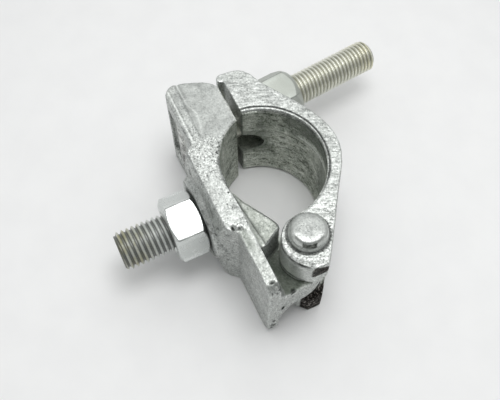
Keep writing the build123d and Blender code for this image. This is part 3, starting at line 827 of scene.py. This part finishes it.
rim0 = np.hypot(fu, fv)
front = smoothstep(0.15, 0.75, fu / np.maximum(rim0, 1e-6))
cap = 27.0 - 0.85 * np.maximum(0.0, rim0 - 5.1 - 0.25 * fbm(co, 3.0, 2, seed=92.0)) * front
co[:, 2] = np.where(head & (co[:, 2] > 23.9), np.minimum(co[:, 2], np.maximum(cap, 23.9)), co[:, 2])
set_co(rivet.data, co)
rr = np.hypot(co[:, 0] - HINGE[0], co[:, 1] - HINGE[1])
zz = co[:, 2]
bevel = front * smoothstep(5.2, 5.6, rr) * smoothstep(23.9, 24.3, zz) * head
# a painted highlight on the top rim of the head, through the edge mask
put_attr(rivet.data, "edge", np.where(head, 0.45 * smoothstep(5.7, 6.4, rr) * smoothstep(26.0, 26.4, zz), 0.0))
put_attr(rivet.data, "smooth", np.where(head, 0.92, 0.0))
# patchy: painted dark reflection on the side of the head
patchy = bevel * smoothstep(3.4, 2.3, np.abs(fv - 0.1 + 0.8 * fbm(co, 2.2, 2, seed=91.0))) * smoothstep(26.5, 26.1, zz + 0.25 * fbm(co, 1.8, 2, seed=94.0)) * smoothstep(24.7, 25.2, zz + 0.3 * fbm(co, 1.8, 2, seed=95.0))
patchy = np.clip(np.maximum(patchy, 0.30 * smoothstep(0.0, 0.35, fbm(co, 4.2, 2, seed=15.0))), 0, 1)
# the head's side darkened as painted reflection; the hidden shank darker
put_attr(rivet.data, "bore", np.where(head, (0.12 + 0.85 * patchy) * smoothstep(26.7, 26.4, zz) * smoothstep(23.6, 24.0, zz), 0.6))
nick = spot(co, (HINGE[0] - 6.6, HINGE[1] - 2.0, 25.6), (0.5, 0.8, 0.6))
# near-black mask: a real nick, the painted dark reflection patches, and painted shade under the head and at its foot
put_attr(rivet.data, "grime_and_shade", np.where(head, 0.9 * nick + smoothstep(0.22, 0.62, patchy) * (0.8 + 0.2 * smoothstep(-0.2, 0.2, fbm(co, 1.4, 2, seed=96.0))) + 0.55 * smoothstep(24.0, 23.8, zz) * smoothstep(23.3, 23.6, zz) * (rr < 7.6) + 0.4 * smoothstep(22.75, 22.5, zz), 0.2))
# painted light band on the side of the head and a painted highlight crescent on the front of its top
put_attr(rivet.data, "lite", np.where(head, 0.75 * (1 - patchy) * smoothstep(26.4, 26.0, zz) * smoothstep(23.2, 23.7, zz) + 0.50 * front * smoothstep(3.2, 4.6, rr) * smoothstep(5.7, 5.2, rr) * smoothstep(26.2, 26.6, zz), 0.0))
put_attr(rivet.data, "raw", np.zeros(len(co)))
rivet.data.materials.append(MAT_RIVET)
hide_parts("hinge_rivet")
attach(rivet, "flap_body")

# ---------------------------------------------------------------- T-bolt: cross head, plain neck, M14 thread
U = (-math.sin(LEAN), math.cos(LEAN), 0.0)
UX = (math.cos(LEAN), math.sin(LEAN), 0.0)
P3 = (PIVOT[0], PIVOT[1], 0.0)
shank = thread_rod("t_bolt_rod", 6.97, 1.83, 0.0, 21.0, 89.5, 1.7, P3, U, UX, EZ, neck=6.7, n=96)
hd = lathe("t_bolt_head", [(0.0001, -14.75), (6.4, -14.75), (6.95, -14.1), (6.95, 14.1), (6.4, 14.75), (0.0001, 14.75)],
           P3, EZ, EX, EY, n=96, cut=0.4)


def union(a, b, name):
    mod = a.modifiers.new("u", "BOOLEAN")
    mod.operation = "UNION"
    mod.solver = "EXACT"
    mod.object = b
    dg = bpy.context.evaluated_depsgraph_get()
    me = bpy.data.meshes.new_from_object(a.evaluated_get(dg))
    for o in (a, b):
        bpy.data.objects.remove(o)
    return link(name, me)


t_bolt = union(shank, hd, "t_bolt_threaded")
shade_by_angle(t_bolt, 50)
co = get_co(t_bolt.data) - np.array(P3)
put_attr(t_bolt.data, "head", smoothstep(9.5, 8.0, co @ np.array(U)))
t_bolt.data.materials.clear()
t_bolt.data.materials.append(MAT_BOLT)
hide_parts("t_bolt")
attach(t_bolt, "t_bolt_body")

# ---------------------------------------------------------------- T-bolt washer and nut
o_w = tuple(np.array(P3) + 30.95 * np.array(U))
washer = lathe("t_bolt_washer_plated", [(7.45, 0.3), (7.75, 0.0), (13.2, 0.0), (13.55, 0.35), (13.55, 2.1), (13.1, 2.5), (7.85, 2.5), (7.45, 2.15)],
               o_w, U, UX, EZ, n=128, cut=0.25, closed=True)
put_attr(washer.data, "edge", np.full(len(washer.data.vertices), 1.0))
washer.data.materials.append(MAT_WASHER)
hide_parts("t_bolt_washer")
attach(washer, "clamp_nut_body")

o_n = tuple(np.array(P3) + 33.45 * np.array(U))
t_nut = hex_nut("t_bolt_nut_plated", 22.0, 15.45, 7.1, 50.0, (10.6, 1.5), (9.7, 0.81), o_n, U, UX, EZ)
shade_by_angle(t_nut, 35)
t_nut.data.materials.append(MAT_CLAMP_NUT)
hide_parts("t_bolt_nut")
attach(t_nut, "clamp_nut_body")

# ---------------------------------------------------------------- stud: riveted head in the saddle, M16 thread
NY = (0, -1, 0)
stud = thread_rod("stud_rod", 7.97, 2.13, 26.0, 33.5, 70.75, 1.45, (STUD_X, 0, 0), NY, EX, EZ, neck=7.75, n=104, seed=4.0, seam=0.20)
sh = lathe("stud_head", [(0.0001, 24.9), (6.0, 24.75), (10.6, 24.6), (11.9, 25.4), (11.9, 30.4), (0.0001, 30.4)],
           (STUD_X, 0, 0), NY, EX, EZ, n=104, cut=0.6)
stud = union(stud, sh, "stud_threaded")
shade_by_angle(stud, 50)
stud.data.materials.clear()
stud.data.materials.append(MAT_STUD)
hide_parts("stud")
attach(stud, "base_body")

s_nut = hex_nut("stud_nut_plated", 24.0, 13.2, 8.1, 43.3, (11.4, 1.5), (11.6, 1.5), (STUD_X, -36.82, 0), NY, EX, EZ)
shade_by_angle(s_nut, 35)
s_nut.data.materials.append(MAT_NUT)
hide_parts("stud_nut")
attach(s_nut, "stud_nut_body")

# ---------------------------------------------------------------- floor
floor_z = cad_box[0][2] - 0.00005
me = bpy.data.meshes.new("floor")
bm = bmesh.new()
bmesh.ops.create_grid(bm, x_segments=8, y_segments=8, size=2.2)
bm.to_mesh(me)
bm.free()
floor = bpy.data.objects.new("floor", me)
floor.location = (0, 0, floor_z)
scene.collection.objects.link(floor)
fm, fnt, fb = new_mat("pale_floor")
fg = N(fnt)
fcol = fg.ramp(fg.noise(60, 3, 0.5), [(0.35, (0.812, 0.812, 0.815)), (0.65, (0.832, 0.832, 0.834))])
fnt.links.new(fcol, fb.inputs["Base Color"])
fb.inputs["Roughness"].default_value = 0.75
fb.inputs["Specular IOR Level"].default_value = 0.25
floor.data.materials.append(fm)

# ---------------------------------------------------------------- world and lights
world = bpy.data.worlds.new("studio")
scene.world = world
world.use_nodes = True
wn = world.node_tree
bg = wn.nodes["Background"]
wt = wn.nodes.new("ShaderNodeTexCoord")
ws = wn.nodes.new("ShaderNodeSeparateXYZ")
wr = wn.nodes.new("ShaderNodeValToRGB")
wn.links.new(wt.outputs["Generated"], ws.inputs[0])
wn.links.new(ws.outputs["Z"], wr.inputs[0])
wr.color_ramp.elements[0].position = 0.0
wr.color_ramp.elements[0].color = (0.33, 0.35, 0.35, 1)
wr.color_ramp.elements[1].position = 1.0
wr.color_ramp.elements[1].color = (1.46, 1.47, 1.45, 1)
for where, v in ((0.60, 0.77), (0.88, 1.14)):
    e = wr.color_ramp.elements.new(where)
    e.color = (v, v * 1.012, v * 1.005, 1)
# the white sweep stands behind the object, so that side of the room is brighter
wx = wn.nodes.new("ShaderNodeMath")
wx.operation = "MULTIPLY"
wx.inputs[1].default_value = -0.907
wn.links.new(ws.outputs["X"], wx.inputs[0])
wy = wn.nodes.new("ShaderNodeMath")
wy.operation = "MULTIPLY_ADD"
wy.inputs[1].default_value = 0.42
wn.links.new(ws.outputs["Y"], wy.inputs[0])
wn.links.new(wx.outputs[0], wy.inputs[2])
wm = wn.nodes.new("ShaderNodeMapRange")
for k, v in enumerate((-1.0, 1.0, 0.70, 1.75)):
    wm.inputs[k + 1].default_value = v
wn.links.new(wy.outputs[0], wm.inputs[0])
wc = wn.nodes.new("ShaderNodeVectorMath")
wc.operation = "SCALE"
wn.links.new(wr.outputs[0], wc.inputs[0])
wn.links.new(wm.outputs[0], wc.inputs["Scale"])
wn.links.new(wc.outputs[0], bg.inputs[0])
bg.inputs[1].default_value = 0.64


def area(name, direction, dist, size, power, color=(1, 1, 1)):
    li = bpy.data.lights.new(name, "AREA")
    li.shape = "DISK"
    li.size = size
    li.energy = power
    li.color = color
    ob = bpy.data.objects.new(name, li)
    d = Vector(direction).normalized()
    ob.location = Vector((0.0, -0.01, 0.0)) + d * dist
    ob.rotation_euler = d.to_track_quat("Z", "Y").to_euler()
    scene.collection.objects.link(ob)
    return ob


area("key", (-0.55, 0.40, 0.74), 0.9, 0.50, 0.45)
area("overhead", (0.02, 0.07, 0.997), 0.42, 0.20, 0.66)

# ---------------------------------------------------------------- camera
AZ, EL, ROLL, DIST = math.radians(65.1373), math.radians(62.3353), math.radians(-0.4591), 0.284186
target = Vector((0.001281, -0.014696, 0.0))
back = Vector((math.sin(AZ) * math.cos(EL), -math.cos(AZ) * math.cos(EL), math.sin(EL)))
right = Vector((math.cos(AZ), math.sin(AZ), 0))
up = back.cross(right)
right2 = right * math.cos(ROLL) + up * math.sin(ROLL)
up2 = up * math.cos(ROLL) - right * math.sin(ROLL)
cam = bpy.data.cameras.new("camera")
cam.lens = 50.352
cam.sensor_width = 36.0
cam.clip_start = 0.01
cam.clip_end = 20
cam_ob = bpy.data.objects.new("camera", cam)
rot = Matrix((right2, up2, back)).transposed().to_4x4()
cam_ob.matrix_world = Matrix.Translation(target + back * DIST) @ rot
scene.collection.objects.link(cam_ob)
scene.camera = cam_ob

scene.view_settings.view_transform = "Standard"
scene.view_settings.look = "None"
